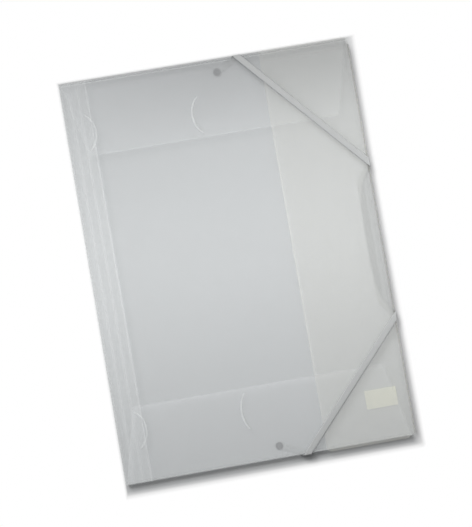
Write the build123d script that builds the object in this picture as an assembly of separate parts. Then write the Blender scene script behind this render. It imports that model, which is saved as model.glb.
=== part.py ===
from build123d import *
import math
import os

# A flat document folder of frosted polypropylene, closed, lying on its back.
# It is one die-cut sheet, scored and folded: a back panel, a spine, a front cover
# and three flaps, held shut by one flat elastic that loops over two corners.
# Millimetres. While it is drawn, X runs from the spine to the opening side,
# Y from the bottom edge to the top edge and Z from the table upwards.

# Sheet
sheet = 0.6
crease_gap = 0.12  # what a score line leaves between two panels
crease_depth = 0.56  # how far a fold's inner edge is bevelled to close at 90 degrees
paper_depth = 5.0  # room for papers, from the back panel to the end flaps
layer_gap = 0.2  # air between two layers that lie on each other

# Back panel
back_width = 312.5
end_inset = 0.5  # how far the end walls stand inside the cover's edges

# Front cover and spine
cover_short = 2.5  # how far the cover stops short of the opening side
cover_width = back_width - cover_short
cover_height = 430.0
cover_corner = 2.5
strip_width = 9.3  # pitch of the spine's expansion creases
strip_count = 3
score_width = 0.3  # bevel along each expansion crease
score_depth = 0.15

# Side flap, which reaches past the cover at both ends
side_depth = 96.5
side_over_top = 1.8
side_over_bottom = 2.3
side_tip_slant = 4.0
top_corner = (3.0, 8.0)
bottom_corner = (9.0, 5.0)

# End flaps, tapered at both ends so that they open past the side flap and the spine
flap_reach = 80.0  # from the cover's edge to the flap's free edge
flap_tip_left = 20.0
flap_tip_short = 22.5  # how far its free edge stops short of the opening side
flap_tip_right = back_width - flap_tip_short
flap_corner = 3.0
wall_clearance = 0.5  # from an end wall to the wall beside it

# Half-moon slits in the end flaps, which hold a card
slit_width = 0.5
slit_height = 38.5
slit_edge = 5.5  # from a slit's inner end to the flap's free edge
slit_end = flap_reach - slit_edge
slit_start = slit_end - slit_height
slit_left = 20.2
slit_left_rise = 9.3
slit_right_top = 143.8
slit_right_top_rise = 8.2
slit_right_bottom = 139.8
slit_right_bottom_rise = 5.6

# Elastic
band_width = 6.0
band = 0.7
band_gap = 0.05  # between the elastic and the cover under it
wrap_gap = 0.1  # between the elastic and the side wall it turns round
end_wrap_gap = 0.6  # the same at the cover's top and bottom edges
top_crossing_in = 120.5  # from the opening side to where it crosses the top edge
bottom_crossing_in = 117.5
upper_side_crossing_in = 135.0  # from the top edge to where it crosses the opening side
lower_side_crossing = 128.0
run_in = 12.5  # how far in from the opening side it runs on the back
run_top_in = 20.0  # how far below the upper crossing that run starts
run_bottom_in = 18.0
top_crossing = back_width - top_crossing_in
bottom_crossing = back_width - bottom_crossing_in
upper_side_crossing = cover_height - upper_side_crossing_in
run_x = back_width - run_in
run_top = upper_side_crossing - run_top_in
run_bottom = lower_side_crossing + run_bottom_in
band_tail = 5.0  # elastic past the rivet's centre

# Rivets that fix the elastic's ends to the back panel
top_rivet_in = 12.3  # from the cover's top edge
bottom_rivet_in = 12.5
top_leg_lean = 23.5  # how far a leg moves sideways between its rivet and the edge
bottom_leg_lean = 28.3
top_rivet_at = (top_crossing - top_leg_lean, cover_height - top_rivet_in)
bottom_rivet_at = (bottom_crossing - bottom_leg_lean, bottom_rivet_in)
head_radius = 4.0
head_height = 0.4
head_dome = 0.15
shank_radius = 1.5
shank_gap = 0.05
washer_radius = 4.0
washer_height = 0.35
clinch_radius = 2.2
clinch_height = 0.25

# Blank label on the outside of the back panel
label_size = (34.0, 20.0)
label_in = 29.5  # from the opening side to the label's middle
label_up = 44.0
label_at = (back_width - label_in, label_up)
label_thickness = 0.1
label_corner = 1.0

# Heights of the layers
back_z = band
back_top = back_z + sheet
end_flap_z = back_top + paper_depth
side_flap_z = end_flap_z + sheet + layer_gap
cover_z = side_flap_z + sheet + layer_gap
cover_top = cover_z + sheet
strand_z = cover_top + band_gap
strand_top = strand_z + band

# Edges of the body
top_edge = cover_height - end_inset
bottom_edge = end_inset
side_top = cover_height + side_over_top
side_bottom = -side_over_bottom
wrap_x = back_width + wrap_gap
wrap_top = cover_height + end_wrap_gap
wrap_bottom = -end_wrap_gap
body_right = wrap_x + band

# The right-hand corners, cut off aslant: where each cut starts on the opening side,
# and where it meets the end walls
top_cut = side_top - top_corner[1]
bottom_cut = side_bottom + bottom_corner[1]
top_cut_x = back_width - (top_edge - top_cut) * top_corner[0] / top_corner[1]
bottom_cut_x = back_width - (bottom_cut - bottom_edge) * bottom_corner[0] / bottom_corner[1]

# Ends of the end walls
root_left = sheet + wall_clearance
top_root_right = top_cut_x - wall_clearance
bottom_root_right = bottom_cut_x - wall_clearance

centre = Pos(-body_right / 2, -(side_top + side_bottom) / 2, 0)

os.makedirs("parts", exist_ok=True)


def save(name, solid):
    """Writes one sub-part, moved so that the origin is under the folder's middle."""
    export_step(centre * solid, f"parts/{name}.step")


def slab(outline, low, height):
    """A flat sheet of the given outline, a list of corners, from low upwards."""
    return extrude(Pos(0, 0, low) * make_face(Polyline(*outline, close=True)), height)


def scored(panel, *places):
    """Bevels the edge nearest to each place, where the panel folds."""
    for place in places:
        edge = panel.edges().sort_by_distance(place)[0]
        panel = chamfer(edge, crease_depth)
    return panel


def rounded(panel, radius, *corners):
    """Rounds the upright corner nearest to each given corner of the sheet."""
    for corner in corners:
        upright = panel.edges().filter_by(Axis.Z).sort_by_distance((*corner, panel.center().Z))[0]
        panel = fillet(upright, radius)
    return panel


def back_panel():
    """The panel that lies on the table, with a hole for each rivet."""
    outline = [
        (0, bottom_edge),
        (bottom_cut_x, bottom_edge),
        (back_width, bottom_cut),
        (back_width, top_cut),
        (top_cut_x, top_edge),
        (0, top_edge),
    ]
    middle = cover_height / 2
    panel = scored(
        slab(outline, back_z, sheet),
        (0, middle, back_top),
        (back_width, middle, back_top),
        (back_width / 2, top_edge, back_top),
        (back_width / 2, bottom_edge, back_top),
    )
    for x, y in (top_rivet_at, bottom_rivet_at):
        panel -= Pos(x, y, back_z + sheet / 2) * Cylinder(shank_radius + shank_gap, 2 * sheet)
    return panel


def spine_wall():
    """The narrow wall on the left, folded up from the back panel."""
    low = back_z + crease_gap
    outline = [(0, bottom_edge), (sheet, bottom_edge), (sheet, top_edge), (0, top_edge)]
    wall = slab(outline, low, cover_top - crease_gap - low)
    middle = cover_height / 2
    return scored(wall, (sheet, middle, low), (sheet, middle, cover_top - crease_gap))


def spine_strip(number):
    """One of the strips between the spine's creases, which lie level when it is thin."""
    left = (number - 1) * strip_width
    gap = crease_gap / 2
    start = left if number == 1 else left + gap
    end = left + strip_width - gap
    outline = [(start, 0), (end, 0), (end, cover_height), (start, cover_height)]
    strip = slab(outline, cover_z, sheet)
    middle = cover_height / 2
    if number == 1:
        strip = scored(strip, (start, middle, cover_z))
    else:
        strip = grooved(strip, start)
    return grooved(strip, end)


def grooved(panel, x):
    """Bevels the panel's upper edge at x, so that two such edges make a score line."""
    edge = panel.edges().sort_by_distance((x, cover_height / 2, cover_top))[0]
    return chamfer(edge, score_depth, score_width)


def front_cover():
    """The front cover, past the last of the spine's creases."""
    start = strip_count * strip_width + crease_gap / 2
    outline = [(start, 0), (cover_width, 0), (cover_width, cover_height), (start, cover_height)]
    cover = rounded(
        slab(outline, cover_z, sheet),
        cover_corner,
        (cover_width, 0),
        (cover_width, cover_height),
    )
    return grooved(cover, start)


def side_flap_wall():
    """The upright wall on the opening side."""
    low = back_z + crease_gap
    top = side_flap_z + sheet - crease_gap
    inner = back_width - sheet
    outline = [(inner, bottom_cut), (back_width, bottom_cut), (back_width, top_cut), (inner, top_cut)]
    wall = slab(outline, low, top - low)
    middle = cover_height / 2
    return scored(wall, (inner, middle, low), (inner, middle, top))


def side_flap():
    """The long flap that closes over the two end flaps."""
    inner = back_width - side_depth
    outline = [
        (inner, 0),
        (inner + side_tip_slant, side_bottom),
        (back_width - bottom_corner[0], side_bottom),
        (back_width, bottom_cut),
        (back_width, top_cut),
        (back_width - top_corner[0], side_top),
        (inner + side_tip_slant, side_top),
        (inner, cover_height),
    ]
    flap = slab(outline, side_flap_z, sheet)
    return scored(flap, (back_width, cover_height / 2, side_flap_z))


def end_wall(edge, inward, root_right):
    """The upright wall at the top or the bottom; inward is the way into the folder."""
    low = back_z + crease_gap
    top = end_flap_z + sheet - crease_gap
    inner = edge + inward * sheet
    outline = [(root_left, edge), (root_right, edge), (root_right, inner), (root_left, inner)]
    wall = slab(outline, low, top - low)
    middle = (root_left + root_right) / 2
    return scored(wall, (middle, inner, low), (middle, inner, top))


def slit(x, rise, edge, inward):
    """The cutter of one half-moon slit, whose middle stands out by rise from its chord."""
    start = edge + inward * slit_start
    end = edge + inward * slit_end
    arc = ThreePointArc((x, start), (x + rise, (start + end) / 2), (x, end))
    return extrude(Pos(0, 0, end_flap_z - sheet) * trace(arc, slit_width), 3 * sheet)


def end_flap(edge, cover_edge, inward, root_right, slit_right, slit_right_rise):
    """The flap folded in from an end wall, tapered, with its pair of slits."""
    tip = cover_edge + inward * flap_reach
    outline = [
        (root_left, edge),
        (root_right, edge),
        (flap_tip_right, tip),
        (flap_tip_left, tip),
    ]
    flap = rounded(
        slab(outline, end_flap_z, sheet),
        flap_corner,
        (flap_tip_right, tip),
        (flap_tip_left, tip),
    )
    flap = scored(flap, ((root_left + root_right) / 2, edge, end_flap_z))
    flap -= slit(slit_left, slit_left_rise, cover_edge, inward)
    return flap - slit(slit_right, -slit_right_rise, cover_edge, inward)


def ribbon(start, end, width=band_width):
    """The footprint of a straight ribbon whose centre line runs from start to end."""
    along = Vector(*end) - Vector(*start)
    middle = (Vector(*start) + Vector(*end)) * 0.5
    angle = math.degrees(math.atan2(along.Y, along.X))
    return Pos(middle.X, middle.Y) * Rot(0, 0, angle) * Rectangle(along.length, width)


def window(left, right, one_y, other_y):
    """A rectangle given by its sides, the two heights in either order."""
    place = Pos((left + right) / 2, (one_y + other_y) / 2)
    return place * Rectangle(right - left, abs(other_y - one_y))


def strand(end_crossing, end_y, wrap_y, outward, side_crossing):
    """One loop of the elastic: across the cover's corner and down round both edges."""
    start = Vector(end_crossing, end_y)
    end = Vector(back_width, side_crossing)
    spare = (end - start).normalized() * 2 * band_width
    path = ribbon(start - spare, end + spare)
    outer_y = wrap_y + outward * band
    front = path & window(0, body_right, cover_height / 2, outer_y)
    end_wrap = path & window(0, body_right, wrap_y, outer_y)
    side_wrap = path & window(wrap_x, body_right, cover_height / 2, outer_y)
    return (
        extrude(Pos(0, 0, strand_z) * front, band)
        + extrude(end_wrap, strand_top)
        + extrude(side_wrap, strand_top)
    )


def leg(rivet_at, end_crossing, wrap_y):
    """The elastic on the back, from its rivet to the edge that it turns round."""
    start = Vector(*rivet_at)
    end = Vector(end_crossing, wrap_y)
    along = (end - start).normalized()
    path = ribbon(start - along * band_tail, end + along * 2 * band_width)
    solid = extrude(path & window(0, body_right, cover_height / 2, wrap_y), band)
    solid -= Pos(*rivet_at) * Cylinder(head_radius + shank_gap, 2 * head_height)
    return solid - Pos(*rivet_at) * Cylinder(shank_radius + shank_gap, 4 * band)


def back_run():
    """The elastic behind the opening side, which turns in from the edge at both ends."""
    line = Polyline(
        (wrap_x + band_width, upper_side_crossing + band_width),
        (run_x, run_top),
        (run_x, run_bottom),
        (wrap_x + band_width, lower_side_crossing - band_width),
    )
    beyond = window(wrap_x, wrap_x + 4 * band_width, 0, cover_height)
    return extrude(trace(line, band_width), band) - extrude(beyond, band)


def rivet(at):
    """A flat-headed rivet: its head outside the back panel, its clinched end inside."""
    top = back_top + washer_height + clinch_height
    profile = make_face(
        Polyline(
            (0, 0),
            (head_radius - head_dome, 0),
            (head_radius, head_dome),
            (head_radius, head_height),
            (shank_radius, head_height),
            (shank_radius, back_top + washer_height),
            (clinch_radius, back_top + washer_height),
            (clinch_radius - clinch_height / 2, top),
            (0, top),
            close=True,
        )
    )
    return Pos(*at) * revolve(Plane.XZ * profile, Axis.Z)


def rivet_washer(at):
    """The washer under the rivet's clinched end, on the inside of the back panel."""
    ring = Circle(washer_radius) - Circle(shank_radius + shank_gap)
    return Pos(*at, back_top) * extrude(ring, washer_height)


def back_label():
    """The blank label stuck to the outside of the back panel."""
    outline = RectangleRounded(*label_size, label_corner)
    return Pos(*label_at, back_z - label_thickness) * extrude(outline, label_thickness)


save("back_panel", back_panel())
save("spine_wall", spine_wall())
for number in range(1, strip_count + 1):
    save(f"spine_strip_{number}", spine_strip(number))
save("front_cover", front_cover())
save("side_flap_wall", side_flap_wall())
save("side_flap", side_flap())
save("top_flap_wall", end_wall(top_edge, -1, top_root_right))
save("bottom_flap_wall", end_wall(bottom_edge, 1, bottom_root_right))
save(
    "top_flap",
    end_flap(top_edge, cover_height, -1, top_root_right, slit_right_top, slit_right_top_rise),
)
save(
    "bottom_flap",
    end_flap(bottom_edge, 0, 1, bottom_root_right, slit_right_bottom, slit_right_bottom_rise),
)
save(
    "elastic_top_strand",
    strand(top_crossing, cover_height, wrap_top, 1, upper_side_crossing),
)
save(
    "elastic_bottom_strand",
    strand(bottom_crossing, 0, wrap_bottom, -1, lower_side_crossing),
)
save("elastic_top_leg", leg(top_rivet_at, top_crossing, wrap_top))
save("elastic_bottom_leg", leg(bottom_rivet_at, bottom_crossing, wrap_bottom))
save("elastic_back_run", back_run())
for end, at in (("top", top_rivet_at), ("bottom", bottom_rivet_at)):
    save(f"{end}_rivet", rivet(at))
    save(f"{end}_rivet_washer", rivet_washer(at))
save("back_label", back_label())
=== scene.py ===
import math

import bmesh
import bpy
from mathutils import Matrix, Vector


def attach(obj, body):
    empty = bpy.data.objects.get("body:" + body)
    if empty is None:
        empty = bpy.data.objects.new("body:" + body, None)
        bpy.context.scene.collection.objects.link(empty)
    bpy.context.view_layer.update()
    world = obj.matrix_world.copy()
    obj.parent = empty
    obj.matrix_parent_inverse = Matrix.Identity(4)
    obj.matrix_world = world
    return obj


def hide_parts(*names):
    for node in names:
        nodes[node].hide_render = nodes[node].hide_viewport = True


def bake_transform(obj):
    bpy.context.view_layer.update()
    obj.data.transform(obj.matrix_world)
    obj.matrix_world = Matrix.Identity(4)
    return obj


# A flat document folder of frosted polypropylene, held shut by one woven elastic.
# Sizes in this script are millimetres from the cover's bottom left corner, with Y
# towards the top edge and Z up from the table; place() turns them into the frame's
# metres.

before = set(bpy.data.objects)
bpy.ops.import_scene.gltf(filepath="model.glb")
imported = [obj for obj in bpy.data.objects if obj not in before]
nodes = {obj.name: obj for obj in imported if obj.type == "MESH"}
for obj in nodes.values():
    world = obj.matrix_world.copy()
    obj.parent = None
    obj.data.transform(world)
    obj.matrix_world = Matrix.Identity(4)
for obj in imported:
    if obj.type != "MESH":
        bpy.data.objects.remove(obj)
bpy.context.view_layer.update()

# Folder, as the solids have it
centre_x = 156.65  # the frame's middle
centre_y = 214.75
cover_height = 430.0
body_width = 312.5
strip_pitch = 9.3
flap_reach = 80.0  # from the cover's edge to an end flap's free edge
flap_top = 6.9

# Elastic
band_width = 6.0
band = 0.7  # its thickness
back_level = 0.35  # height of its middle behind the folder
front_level = 8.9
wrap_radius = 0.6
wrap_centre_low = back_level + wrap_radius
wrap_centre_high = front_level - wrap_radius
wrap_reach = 0.35  # from the cover's edge out to the centre of a turn
side_fold = 312.35
run_x = 300.0
run_middle = 210.5
bend_radius = 10.0
leg_lean_end = 0.6  # how far past the edge a leg's line is aimed
slant_aim = (6.25, 6.0)  # from a side crossing to where the slanted stretch is aimed
rivet_start = 1.7  # along a leg from the rivet's middle
head_end = 4.4
swell_end = 6.6
head_level = 0.55  # height and thickness where the rivet's head presses the band
head_band = 0.24
swell_band = 0.68
edge_drop = 0.3  # how much lower the band's rounded edges are, as a share of its thickness
edge_power = 6
weave_length = 0.55
cords_across = 9

halves = (
    {
        "name": "elastic_upper",
        "loop": "top_loop",
        "rivet": (168.5, 417.7),
        "end_crossing": 192.0,
        "edge": cover_height,
        "side": 1,
        "side_crossing": 295.0,
        "run_start": 275.0,
        "solids": ("elastic_top_leg", "elastic_top_strand", "elastic_back_run"),
    },
    {
        "name": "elastic_lower",
        "loop": "bottom_loop",
        "rivet": (166.7, 12.5),
        "end_crossing": 195.0,
        "edge": 0.0,
        "side": -1,
        "side_crossing": 128.0,
        "run_start": 146.0,
        "solids": ("elastic_bottom_leg", "elastic_bottom_strand"),
    },
)

# Slits, each by its place from the spine and how far it bulges away from the spine;
# towards the spine is below zero
slit_outer = 36.0  # from the cover's edge to the slit's near end
slit_inner = 74.5
left_slit = (20.2, 9.3)
right_slit_top = (143.8, -8.2)
right_slit_bottom = (139.8, -5.6)
slit_half_width = 0.3
rim_profile = [(0.3, 0.0), (0.5, 0.09), (0.95, 0.14), (1.5, 0.1), (2.0, 0.0)]
rim_lift = 0.01

# Sheet
sheet_colour = (0.86, 0.885, 0.895, 1)
# The end flaps, side flap and spine strips take lighter copies of the sheet's colour: painted light
end_flap_colour = (0.93, 0.95, 0.955, 1)
side_flap_colour = (0.97, 0.965, 0.89, 1)
# The walls' darker colour is painted shade
wall_shade_colour = (0.52, 0.53, 0.53, 1)
strip_colour = (0.95, 0.97, 0.975, 1)
# The dark colour that the painted shade greys the sheet towards
painted_shade_colour = (0.2, 0.205, 0.205, 1)
stressed_colour = (0.93, 0.94, 0.94, 1)
face_alpha = 0.1
flap_alpha = 0.115
wall_alpha = 0.35
strip_alpha = 0.13
stressed_alpha = 0.8
cut_edge_share = 0.15
cut_edge_limit = 0.5  # how upright a face's normal is where it stops being a cut edge
cloud_share = 0.06

# Whitened lines: place and half width, and how white
crease_half = 1.6
crease_shares = (0.14, 0.16, 0.24)
free_edge_half = 1.8
side_free_edge = 216.8
side_free_edge_share = 0.07
side_flap_line = 420.0
side_flap_line_half = 1.2
side_flap_line_share = 0.1
top_free_edge_share = 0.07
bottom_free_edge_share = 0.05

# Painted shade: the sheet is made greyer along the top edge and the opening side
painted_shade_top_depth = 80.0
painted_shade_top_share = 0.3
painted_shade_growth = 217.4  # over which the painted shade at the top grows from the spine to the middle
painted_shade_side_depth = 8.0
painted_shade_side_share = 0.15

# Painted shade in a bowed greyer zone along that side, between the elastic's two crossings of it
bowed_half_height = 81.0
bowed_reach = 18.0
bowed_softness = 1.667
bowed_shade_share = 0.33

# Other colours
rivet_dark = (0.21, 0.21, 0.216, 1)
rivet_light = (0.3, 0.3, 0.309, 1)
label_dark = (0.86, 0.85, 0.69, 1)
label_light = (0.89, 0.88, 0.73, 1)
elastic_dark = (0.43, 0.44, 0.44, 1)
elastic_light = (0.555, 0.565, 0.565, 1)
# The slit rims' whites: a painted highlight
rim_dark = (0.84, 0.86, 0.86, 1)
rim_light = (0.95, 0.96, 0.96, 1)
# Grey under the folder: painted shade
floor_painted_shade = (0.553, 0.563, 0.568, 1)
floor_beyond = (0.94, 0.94, 0.94, 1)

# Floor: half its size in metres, how far below the table's level it lies, and the
# folder's outline on it
floor_half = 6.0
floor_drop = 0.0001
outline_half_width = 157.0
outline_half_height = 217.0

# Fall-offs on the floor, each by where it starts past the outline and its length: the first three
# paint shade and shadow into its colour, the last three bring in its glow
lit_side_painted_shade = (0.0, 2.0)
right_painted_shadow = (-5.333, 13.333)
bottom_painted_shadow = (5.556, 5.556)
lit_glow = (0.0, 3.333)
right_glow = (4.0, 5.0)
bottom_glow = (8.889, 5.556)

# Lamps and camera, in the frame's metres
key_place = (-2.79, 5.71, 5.51)
key_size = (3.6, 3.6)
key_power = 440
strip_place = (0.05, 0.028, 0.32)
strip_size = (1.0, 0.1)
strip_power = 1.14
surround_strength = 0.18
lens = 85
sensor_width = 36
tilt_x = math.radians(1.74)
tilt_y = math.radians(-1.96)
roll = math.radians(-9.75)
aim = (-0.0029, -0.0032, 0.0085)
camera_distance = 1.3225


def place(x, y, z):
    """A point in millimetres as a point of the frame, in metres."""
    return Vector(((x - centre_x) / 1000, (y - centre_y) / 1000, z / 1000))


def add_object(name, data):
    """A new object in the scene."""
    made = bpy.data.objects.new(name, data)
    bpy.context.scene.collection.objects.link(made)
    return made


# Shader nodes

# Where a colour mix node has its share, its two colours and its result
colour_inputs = (0, 6, 7)
colour_output = 2


def new_material(name):
    """A new material, its node tree and its main shader."""
    material = bpy.data.materials.new(name)
    material.use_nodes = True
    return material, material.node_tree, material.node_tree.nodes["Principled BSDF"]


def put(tree, socket, value):
    """Links or sets one input."""
    if isinstance(value, bpy.types.NodeSocket):
        tree.links.new(value, socket)
    else:
        socket.default_value = value


def maths(tree, operation, *values, clamp=False):
    """One math node and its result."""
    node = tree.nodes.new("ShaderNodeMath")
    node.operation = operation
    node.use_clamp = clamp
    for socket, value in zip(node.inputs, values):
        put(tree, socket, value)
    return node.outputs[0]


def ramp(tree, value, start, length):
    """How far a value is past a start, as a share of a length, from 0 to 1."""
    return maths(tree, "MULTIPLY_ADD", value, 1 / length, -start / length, clamp=True)


def noise(tree, vector, scale, detail=3.0):
    """A noise texture's value."""
    node = tree.nodes.new("ShaderNodeTexNoise")
    put(tree, node.inputs["Vector"], vector)
    node.inputs["Scale"].default_value = scale
    node.inputs["Detail"].default_value = detail
    return node.outputs["Fac"]


def mix_colour(tree, share, first, second):
    """Two colours mixed by a share."""
    node = tree.nodes.new("ShaderNodeMix")
    node.data_type = "RGBA"
    for number, value in zip(colour_inputs, (share, first, second)):
        put(tree, node.inputs[number], value)
    return node.outputs[colour_output]


def bump(tree, shader, height, strength, distance):
    """Roughens the shader's surface by a height."""
    node = tree.nodes.new("ShaderNodeBump")
    node.inputs["Strength"].default_value = strength
    node.inputs["Distance"].default_value = distance
    put(tree, node.inputs["Height"], height)
    put(tree, shader.inputs["Normal"], node.outputs[0])


def object_space(tree):
    """The point's place and its normal, both at rest."""
    node = tree.nodes.new("ShaderNodeTexCoord")
    return node.outputs["Object"], node.outputs["Normal"]


def split(tree, vector):
    """A vector's three parts."""
    node = tree.nodes.new("ShaderNodeSeparateXYZ")
    put(tree, node.inputs[0], vector)
    return node.outputs


def millimetres(tree, point, middle=(0.0, 0.0)):
    """A point's x and y in millimetres, counted so that the frame's middle is at middle."""
    parts = split(tree, point)
    return [maths(tree, "MULTIPLY_ADD", parts[axis], 1000.0, middle[axis]) for axis in (0, 1)]


# Materials


def painted_shade_share(tree, x, y, bowed):
    """How much painted shade greys the sheet towards the top edge and the opening side, and in the
    bowed zone between the elastic's two crossings of that side."""
    top = ramp(tree, y, cover_height - painted_shade_top_depth, painted_shade_top_depth)
    grown = ramp(tree, x, centre_x - painted_shade_growth, painted_shade_growth)
    top = maths(tree, "MULTIPLY", top, grown)
    side = ramp(tree, x, body_width - painted_shade_side_depth, painted_shade_side_depth)
    side = maths(tree, "MULTIPLY", side, painted_shade_side_share)
    share = maths(tree, "MULTIPLY_ADD", top, painted_shade_top_share, side)
    if bowed:
        share = maths(tree, "MULTIPLY_ADD", bowed_shade_zone(tree, x, y), bowed_shade_share, share, clamp=True)
    return share


def bowed_shade_zone(tree, x, y):
    """1 inside the bowed zone of painted shade along the opening side, and 0 outside it."""
    along = maths(tree, "DIVIDE", maths(tree, "SUBTRACT", y, run_middle), bowed_half_height)
    fourth = maths(tree, "POWER", maths(tree, "ABSOLUTE", along), 4.0)
    bow = maths(tree, "SUBTRACT", 1.0, fourth)
    past = maths(tree, "MULTIPLY_ADD", bow, bowed_reach, maths(tree, "SUBTRACT", x, body_width))
    return ramp(tree, past, 0.0, bowed_softness)


def frosted(name, marks=(), plain=sheet_colour, clear=face_alpha, bowed=False):
    """Frosted sheet. Each mark is a line whitened by scoring or rubbing: its axis, its
    place, its half width and how white it is."""
    material, tree, shader = new_material(name)
    point, normal = object_space(tree)
    x, y = millimetres(tree, point, (centre_x, centre_y))
    upright = maths(tree, "ABSOLUTE", split(tree, normal)[2])
    edge = maths(tree, "LESS_THAN", upright, cut_edge_limit)
    white = maths(tree, "MULTIPLY", edge, cut_edge_share)
    for axis, where, half, share in marks:
        away = maths(tree, "ABSOLUTE", maths(tree, "SUBTRACT", (x, y)[axis], where))
        near = maths(tree, "SUBTRACT", 1.0, maths(tree, "DIVIDE", away, half), clamp=True)
        white = maths(tree, "MAXIMUM", white, maths(tree, "MULTIPLY", near, share))
    cloud = maths(tree, "SUBTRACT", noise(tree, point, scale=14.0), 0.5)
    white = maths(tree, "ADD", white, maths(tree, "MULTIPLY", cloud, cloud_share), clamp=True)
    # Painted shade: greyer towards the top edge, the opening side and, where asked, the bowed zone
    colour = mix_colour(tree, painted_shade_share(tree, x, y, bowed), plain, painted_shade_colour)
    put(tree, shader.inputs["Base Color"], mix_colour(tree, white, colour, stressed_colour))
    alpha = maths(tree, "MULTIPLY_ADD", white, stressed_alpha - clear, clear)
    put(tree, shader.inputs["Alpha"], alpha)
    shader.inputs["Roughness"].default_value = 0.42
    shader.inputs["Specular IOR Level"].default_value = 0.6
    bump(tree, shader, noise(tree, point, scale=2600.0, detail=2.0), strength=0.2, distance=0.0001)
    return material


def across_mark(x, half, share):
    """A whitened line along the folder, at one distance from the spine."""
    return (0, x, half, share)


def along_mark(y, half, share):
    """A whitened line across the folder, at one distance from its bottom edge."""
    return (1, y, half, share)


def crease_marks():
    """The three expansion creases of the spine."""
    return [
        across_mark(strip_pitch * number, crease_half, share)
        for number, share in enumerate(crease_shares, 1)
    ]


def side_flap_sheet():
    """The side flap: whitened along its free edge, with one line where it passes the top."""
    free_edge = across_mark(side_free_edge, free_edge_half, side_free_edge_share)
    line = along_mark(side_flap_line, side_flap_line_half, side_flap_line_share)
    return frosted("side_flap_sheet", [free_edge, line], side_flap_colour, flap_alpha, bowed=True)


def end_flap_sheet(name, free_edge, share):
    """An end flap: whitened along its free edge."""
    mark = along_mark(free_edge, free_edge_half, share)
    return frosted(name, [mark], end_flap_colour, flap_alpha)


def wall_sheet(name):
    """A wall seen on edge, through which little light comes, in a darker colour that is painted
    shade.
    """
    return frosted(name, plain=wall_shade_colour, clear=wall_alpha)


def rivet_metal():
    """Dark satin metal with fine turning marks."""
    material, tree, shader = new_material("rivet_metal")
    point, _ = object_space(tree)
    grain = noise(tree, point, scale=1800.0)
    put(tree, shader.inputs["Base Color"], mix_colour(tree, grain, rivet_dark, rivet_light))
    shader.inputs["Metallic"].default_value = 0.7
    shader.inputs["Roughness"].default_value = 0.42
    bump(tree, shader, grain, strength=0.15, distance=0.00005)
    return material


def label_paper():
    """Pale, slightly yellow paper."""
    material, tree, shader = new_material("label_paper")
    point, _ = object_space(tree)
    fibre = noise(tree, point, scale=900.0, detail=5.0)
    put(tree, shader.inputs["Base Color"], mix_colour(tree, fibre, label_dark, label_light))
    shader.inputs["Roughness"].default_value = 0.8
    bump(tree, shader, fibre, strength=0.2, distance=0.00003)
    return material


def woven_elastic():
    """Flat woven elastic: cords along it, weft across it."""
    material, tree, shader = new_material("woven_elastic")
    node = tree.nodes.new("ShaderNodeUVMap")
    node.uv_map = "weave"
    along, across, _ = split(tree, node.outputs[0])
    cords = maths(tree, "SINE", maths(tree, "MULTIPLY", across, 2 * math.pi * cords_across))
    weft = maths(tree, "SINE", maths(tree, "MULTIPLY", along, 2 * math.pi / weave_length))
    height = maths(tree, "MULTIPLY_ADD", maths(tree, "MULTIPLY", cords, weft), 0.25, 0.5)
    height = maths(tree, "MULTIPLY_ADD", cords, 0.2, height, clamp=True)
    # Darker where the weave lies lower: painted shade in its hollows
    put(tree, shader.inputs["Base Color"], mix_colour(tree, height, elastic_dark, elastic_light))
    shader.inputs["Roughness"].default_value = 0.72
    shader.inputs["Sheen Weight"].default_value = 0.08
    bump(tree, shader, height, strength=0.5, distance=0.0001)
    return material


def slit_glint_sheet():
    """Sheet made white along the slits: a painted highlight for the glint on their raised rims."""
    material, tree, shader = new_material("slit_rim_painted_glint")
    point, _ = object_space(tree)
    patchiness = noise(tree, point, scale=400.0)
    put(tree, shader.inputs["Base Color"], mix_colour(tree, patchiness, rim_dark, rim_light))
    put(tree, shader.inputs["Alpha"], maths(tree, "MULTIPLY_ADD", patchiness, 0.3, 0.35, clamp=True))
    shader.inputs["Roughness"].default_value = 0.35
    return material


def dress_solids():
    """Gives each carried-over solid its material."""
    creases = crease_marks()
    top_free_edge = cover_height - flap_reach
    looks = {
        "back_panel": frosted("back_sheet", bowed=True),
        "spine_wall": frosted("spine_sheet"),
        "front_cover": frosted("cover_sheet", creases),
        "side_flap_wall": wall_sheet("side_wall_sheet"),
        "side_flap": side_flap_sheet(),
        "top_flap": end_flap_sheet("top_flap_sheet", top_free_edge, top_free_edge_share),
        "bottom_flap": end_flap_sheet("bottom_flap_sheet", flap_reach, bottom_free_edge_share),
        "top_flap_wall": wall_sheet("top_wall_sheet"),
        "bottom_flap_wall": wall_sheet("bottom_wall_sheet"),
        "back_label": label_paper(),
    }
    strips = frosted("strip_sheet", creases, strip_colour, strip_alpha)
    metal = rivet_metal()
    for number in (1, 2, 3):
        looks[f"spine_strip_{number}"] = strips
    for end in ("top", "bottom"):
        looks[f"{end}_rivet"] = metal
        looks[f"{end}_rivet_washer"] = metal
    for name, material in looks.items():
        nodes[name].data.materials.clear()
        nodes[name].data.materials.append(material)


# Elastic

# A row is the band's cross-section at one place: the two ends of its width, the way
# its outer face looks, and its thickness there.


def offset_lines(start, end):
    """The two edges of a straight stretch of band: a point on each, and their direction."""
    along = (Vector(end) - Vector(start)).normalized()
    out = Vector((-along.y, along.x)) * band_width / 2
    return [(Vector(start) + out, along), (Vector(start) - out, along)]


def crossing(line, axis, value):
    """Where an edge line meets x or y = value."""
    point, along = line
    return point + along * ((value - point[axis]) / along[axis])


def crossings(lines, axis, value):
    """Where both edge lines meet x or y = value."""
    return [crossing(line, axis, value) for line in lines]


def at_height(pair, level):
    """A pair of edge points, put at one height."""
    return [Vector((point.x, point.y, level)) for point in pair]


def flat_rows(first, last, level, outward, thickness, count):
    """Rows of a flat stretch between two pairs of edge points."""
    rows = []
    for i in range(count + 1):
        pair = [a.lerp(b, i / count) for a, b in zip(first, last)]
        rows.append((at_height(pair, level), outward, thickness))
    return rows


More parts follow.
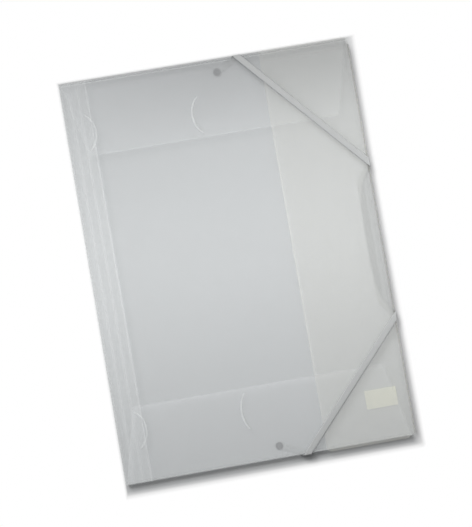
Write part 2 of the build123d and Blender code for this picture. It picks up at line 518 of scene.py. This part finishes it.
def wrap_places(upward):
    """Stations of a turn round an edge, up its wall and round the other edge: how far
    along the band each lies, its turn's centre height, and the way it faces."""
    arc = wrap_radius * math.pi / 2
    wall = wrap_centre_high - wrap_centre_low
    total = 2 * arc + wall
    turn_steps = 8
    wall_steps = 6
    places = []
    for i in range(turn_steps + 1):
        turn = math.pi / 2 * i / turn_steps
        places.append((arc * i / turn_steps, wrap_centre_low, math.sin(turn), -math.cos(turn)))
    for i in range(1, wall_steps):
        rise = wall * i / wall_steps
        places.append((arc + rise, wrap_centre_low + rise, 1.0, 0.0))
    for i in range(turn_steps + 1):
        turn = math.pi / 2 * i / turn_steps
        distance = arc + wall + arc * i / turn_steps
        places.append((distance, wrap_centre_high, math.cos(turn), math.sin(turn)))
    if not upward:
        places = [(total - distance, *rest) for distance, *rest in reversed(places)]
    return places, total


def wrap_rows(first, last, axis, fold, side, upward):
    """Rows that turn round an edge of the folder, along its wall and round the other
    edge. The two pairs of edge points lie on the fold before and after the wall."""
    rows = []
    places, total = wrap_places(upward)
    for distance, level, out, up in places:
        normal = Vector((0, 0, up))
        normal[axis] = out * side
        pair = [a.lerp(b, distance / total) for a, b in zip(first, last)]
        pair = at_height(pair, level + wrap_radius * up)
        for point in pair:
            point[axis] = fold + side * wrap_radius * out
        rows.append((pair, normal, band))
    return rows


def leg_rows(leg, leg_fold, down):
    """Rows from under the rivet's head, where the band is pressed thin, to the edge."""
    at_rivet, at_head, past_head = (
        [point + along * distance for point, along in leg]
        for distance in (rivet_start, head_end, swell_end)
    )
    swell_steps = 4
    rows = flat_rows(at_rivet, at_head, head_level, down, head_band, 2)
    for i in range(1, swell_steps + 1):
        share = i / swell_steps
        pair = [a.lerp(b, share) for a, b in zip(at_head, past_head)]
        level = head_level + (back_level - head_level) * share
        thickness = head_band + (swell_band - head_band) * share
        rows.append((at_height(pair, level), down, thickness))
    return rows + flat_rows(past_head, leg_fold, back_level, down, band, 8)[1:]


def run_rows(slant_side, along, side, run_start, down):
    """The back run: in from the side edge, round a bend and along to the middle."""
    bend_steps = 8
    run_steps = 12
    turn = math.acos(max(-1.0, min(1.0, -along.y * side)))
    reach = bend_radius * math.tan(turn / 2)
    pivot = Vector((run_x + bend_radius, run_start - side * reach))
    path = []
    for i in range(bend_steps + 1):
        angle = turn * (1 - i / bend_steps)
        radial = Vector((-math.cos(angle), side * math.sin(angle)))
        path.append((pivot + radial * bend_radius, radial))
    bend_end = path[-1][0].y
    for i in range(1, run_steps + 1):
        y = bend_end + (run_middle - bend_end) * i / run_steps
        path.append((Vector((run_x, y)), Vector((-1, 0))))
    first_radial = path[0][1]
    first_is_outer = slant_side[0].dot(first_radial) > slant_side[1].dot(first_radial)
    half = band_width / 2 if first_is_outer else -band_width / 2
    pairs = [[point + radial * half, point - radial * half] for point, radial in path]
    rows = flat_rows(slant_side, pairs[0], back_level, down, band, 6)[1:]
    for pair in pairs[1:]:
        rows.append((at_height(pair, back_level), down, band))
    return rows


def elastic_rows(rivet, end_crossing, edge, side, side_crossing, run_start):
    """All rows of one half of the elastic, from its rivet to the middle of the back run.
    The same edge of the band stays first all the way."""
    down = Vector((0, 0, -1))
    up = Vector((0, 0, 1))
    end_fold = edge + side * wrap_reach

    def fold_x(line):
        return crossing(line, 1, end_fold).x

    leg = sorted(offset_lines(rivet, (end_crossing, edge + side * leg_lean_end)), key=fold_x)
    leg_fold = crossings(leg, 1, end_fold)
    strand = sorted(offset_lines((end_crossing, edge), (body_width, side_crossing)), key=fold_x)
    strand_end = crossings(strand, 1, end_fold)
    strand_side = crossings(strand, 0, side_fold)

    run_corner = Vector((run_x, run_start))
    aim_x, aim_y = slant_aim
    inward = run_corner - Vector((side_fold + aim_x, side_crossing + side * aim_y))
    slant_side = crossings(offset_lines(run_corner, run_corner - inward), 0, side_fold)
    falling = strand_side[0].y > strand_side[1].y
    slant_side.sort(key=lambda point: point.y, reverse=falling)

    rows = leg_rows(leg, leg_fold, down)
    rows += wrap_rows(leg_fold, strand_end, 1, end_fold, side, True)
    rows += flat_rows(strand_end, strand_side, front_level, up, band, 40)[1:]
    rows += wrap_rows(strand_side, slant_side, 0, side_fold, 1, False)
    rows += run_rows(slant_side, inward.normalized(), side, run_start, down)
    return rows


def band_points(rows, across):
    """Rings of points round the rows: first the rounded outer face, then the flat one."""
    points = []
    shares = [math.sin(math.pi * (i / across - 0.5)) for i in range(across + 1)]
    for pair, normal, thickness in rows:
        for s in shares:
            rise = thickness * (0.5 - edge_drop * abs(s) ** edge_power)
            points.append(place(*(pair[0].lerp(pair[1], (s + 1) / 2) + normal * rise)))
        for s in reversed(shares):
            points.append(place(*(pair[0].lerp(pair[1], (s + 1) / 2) - normal * thickness / 2)))
    return points


def band_faces(row_count, ring):
    """The faces between the rings, and the two end caps."""
    faces = []
    for row in range(row_count - 1):
        for i in range(ring):
            j = (i + 1) % ring
            faces.append((row * ring + i, row * ring + j, (row + 1) * ring + j, (row + 1) * ring + i))
    faces.append(tuple(reversed(range(ring))))
    faces.append(tuple(range((row_count - 1) * ring, row_count * ring)))
    return faces


def map_weave(mesh, rows, across):
    """The weave's map: distance from the back run's middle, and place across the band."""
    ring = 2 * (across + 1)
    lengths = [0.0]
    for (a, _, _), (b, _, _) in zip(rows, rows[1:]):
        lengths.append(lengths[-1] + ((b[0] + b[1]) / 2 - (a[0] + a[1]) / 2).length)
    layer = mesh.uv_layers.new(name="weave")
    for loop in mesh.loops:
        row, spot = divmod(loop.vertex_index, ring)
        i = spot if spot <= across else ring - 1 - spot
        side = (math.sin(math.pi * (i / across - 0.5)) + 1) / 2
        layer.data[loop.index].uv = (lengths[-1] - lengths[row], side)


def tidy_normals(mesh):
    """Turns all faces outwards and keeps the two end caps flat."""
    form = bmesh.new()
    form.from_mesh(mesh)
    bmesh.ops.recalc_face_normals(form, faces=form.faces)
    for cap in (face for face in form.faces if len(face.verts) > 4):
        cap.smooth = False
        for rim in cap.edges:
            rim.smooth = False
    form.to_mesh(mesh)
    form.free()


def band_mesh(name, rows):
    """A closed band over the rows, rounded along its edges, with a weave map."""
    across = 16
    mesh = bpy.data.meshes.new(name)
    mesh.from_pydata(band_points(rows, across), [], band_faces(len(rows), 2 * (across + 1)))
    map_weave(mesh, rows, across)
    mesh.validate()
    for polygon in mesh.polygons:
        polygon.use_smooth = True
    made = add_object(name, mesh)
    tidy_normals(mesh)
    return made


def elastic():
    """Both halves of the elastic, each one closed band from its rivet to the middle of the back run.
    """
    material = woven_elastic()
    route = ("rivet", "end_crossing", "edge", "side", "side_crossing", "run_start")
    for half in halves:
        made = band_mesh(half["name"], elastic_rows(*(half[key] for key in route)))
        made.data.materials.append(material)
        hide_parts(*half["solids"])
        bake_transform(made)


# Slit rims


def rim_points(x, rise, edge, inward, count):
    """The rim's profile, repeated along the slit's arc and fading at its ends."""
    start = edge + inward * slit_outer
    end = edge + inward * slit_inner
    chord = abs(end - start)
    radius = (chord * chord / 4 + rise * rise) / (2 * abs(rise))
    turn = math.copysign(1, rise)
    pivot_x = x + rise - turn * radius
    pivot_y = (start + end) / 2
    reach = math.asin(chord / 2 / radius)
    points = []
    for i in range(count + 1):
        t = 2 * i / count - 1
        angle = reach * t
        fade = 1 - 0.8 * abs(t) ** 8
        for out, up in rim_profile:
            spread = radius + slit_half_width + (out - slit_half_width) * fade
            point_x = pivot_x + turn * spread * math.cos(angle)
            point_y = pivot_y + spread * math.sin(angle)
            points.append(place(point_x, point_y, flap_top + rim_lift + up * fade))
    return points


def slit_rim(name, body, slit, edge, inward, material):
    """The slightly raised rim along one half-moon slit, whitened as a painted highlight."""
    x, rise = slit
    count = 48
    wide = len(rim_profile)
    faces = []
    for i in range(count):
        for j in range(wide - 1):
            a = i * wide + j
            faces.append((a, a + 1, a + wide + 1, a + wide))
    mesh = bpy.data.meshes.new(name)
    mesh.from_pydata(rim_points(x, rise, edge, inward, count), [], faces)
    mesh.materials.append(material)
    for polygon in mesh.polygons:
        polygon.use_smooth = True
    made = add_object(name, mesh)
    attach(made, body)


def slit_rims():
    """The four rims."""
    material = slit_glint_sheet()
    slit_rim("top_left_slit_rim", "top", left_slit, cover_height, -1, material)
    slit_rim("top_right_slit_rim", "top", right_slit_top, cover_height, -1, material)
    slit_rim("bottom_left_slit_rim", "bottom", left_slit, 0.0, 1, material)
    slit_rim("bottom_right_slit_rim", "bottom", right_slit_bottom, 0.0, 1, material)


# Stage


def rounded(tree, first, second):
    """Two fall-offs joined, rounded where they meet at a corner."""
    squares = maths(tree, "MULTIPLY_ADD", first, first, maths(tree, "MULTIPLY", second, second))
    return maths(tree, "SQRT", squares, clamp=True)


def outside(tree, x, y):
    """How far a point of the floor is outside the folder's outline: on the two lit sides,
    on the right and at the bottom."""
    left = maths(tree, "MULTIPLY_ADD", x, -1, -outline_half_width)
    right = maths(tree, "MULTIPLY_ADD", x, 1, -outline_half_width)
    bottom = maths(tree, "MULTIPLY_ADD", y, -1, -outline_half_height)
    top = maths(tree, "MULTIPLY_ADD", y, 1, -outline_half_height)
    return maths(tree, "MAXIMUM", left, top), right, bottom


def floor_material():
    """Grey under the folder and in a painted shadow past its right and bottom edges, both painted
    shade in the floor's colour, and past its outline white to the camera, to glossy and to
    transmitted rays, apart from where the shadow falls."""
    material, tree, shader = new_material("floor")
    shader.inputs["Roughness"].default_value = 0.9
    shader.inputs["Specular IOR Level"].default_value = 0.1
    point, _ = object_space(tree)
    lit, right, bottom = outside(tree, *millimetres(tree, point))
    # Painted shadow past the right and bottom edges, greying the floor's colour
    painted_shadow = rounded(tree, ramp(tree, right, *right_painted_shadow), ramp(tree, bottom, *bottom_painted_shadow))
    beyond = maths(tree, "MAXIMUM", ramp(tree, lit, *lit_side_painted_shade), painted_shadow)
    put(tree, shader.inputs["Base Color"], mix_colour(tree, beyond, floor_painted_shade, floor_beyond))
    glowing = rounded(tree, ramp(tree, right, *right_glow), ramp(tree, bottom, *bottom_glow))
    far = maths(tree, "MAXIMUM", ramp(tree, lit, *lit_glow), glowing)
    path = tree.nodes.new("ShaderNodeLightPath").outputs
    seen = maths(tree, "MAXIMUM", path["Is Camera Ray"], path["Is Glossy Ray"])
    seen = maths(tree, "MAXIMUM", seen, path["Is Transmission Ray"])
    glow = tree.nodes.new("ShaderNodeEmission")
    glow.inputs["Strength"].default_value = 1.0
    mixed = tree.nodes.new("ShaderNodeMixShader")
    put(tree, mixed.inputs[0], maths(tree, "MULTIPLY", far, seen))
    tree.links.new(shader.outputs[0], mixed.inputs[1])
    tree.links.new(glow.outputs[0], mixed.inputs[2])
    tree.links.new(mixed.outputs[0], tree.nodes["Material Output"].inputs["Surface"])
    return material


def floor():
    """A white floor that keeps the folder's shadow, with painted shade and a painted shadow in its
    colour under and beside the folder.
    """
    mesh = bpy.data.meshes.new("floor")
    corners = ((-1, -1), (1, -1), (1, 1), (-1, 1))
    points = [(x * floor_half, y * floor_half, -floor_drop) for x, y in corners]
    mesh.from_pydata(points, [], [(0, 1, 2, 3)])
    mesh.materials.append(floor_material())
    add_object("floor", mesh)


def area_light(name, location, target, size, power):
    """A rectangular lamp aimed at a point."""
    lamp = bpy.data.lights.new(name, "AREA")
    lamp.shape = "RECTANGLE"
    lamp.size, lamp.size_y = size
    lamp.energy = power
    made = add_object(name, lamp)
    made.location = location
    made.visible_camera = False
    made.rotation_euler = (Vector(target) - Vector(location)).to_track_quat("-Z", "Y").to_euler()


def lights():
    """A key from the upper left, a strip overhead and a soft surround."""
    strip_x, strip_y, _ = strip_place
    area_light("key", key_place, (0, 0, 0), key_size, key_power)
    area_light("strip", strip_place, (strip_x, strip_y, 0), strip_size, strip_power)
    world = bpy.data.worlds.new("surround")
    bpy.context.scene.world = world
    world.use_nodes = True
    background = world.node_tree.nodes["Background"]
    background.inputs["Color"].default_value = (1, 1, 1, 1)
    background.inputs["Strength"].default_value = surround_strength


def camera():
    """The photograph's view, nearly straight down and turned by about ten degrees."""
    data = bpy.data.cameras.new("camera")
    data.lens = lens
    data.sensor_width = sensor_width
    made = add_object("camera", data)
    turned = Matrix.Rotation(roll, 3, "Z")
    turned = turned @ Matrix.Rotation(tilt_y, 3, "Y") @ Matrix.Rotation(tilt_x, 3, "X")
    made.rotation_euler = turned.to_euler()
    made.location = Vector(aim) + turned @ Vector((0, 0, camera_distance))
    bpy.context.scene.camera = made


dress_solids()
elastic()
slit_rims()
floor()
lights()
camera()

scene = bpy.context.scene
scene.view_settings.view_transform = "Standard"
scene.cycles.transparent_max_bounces = 40
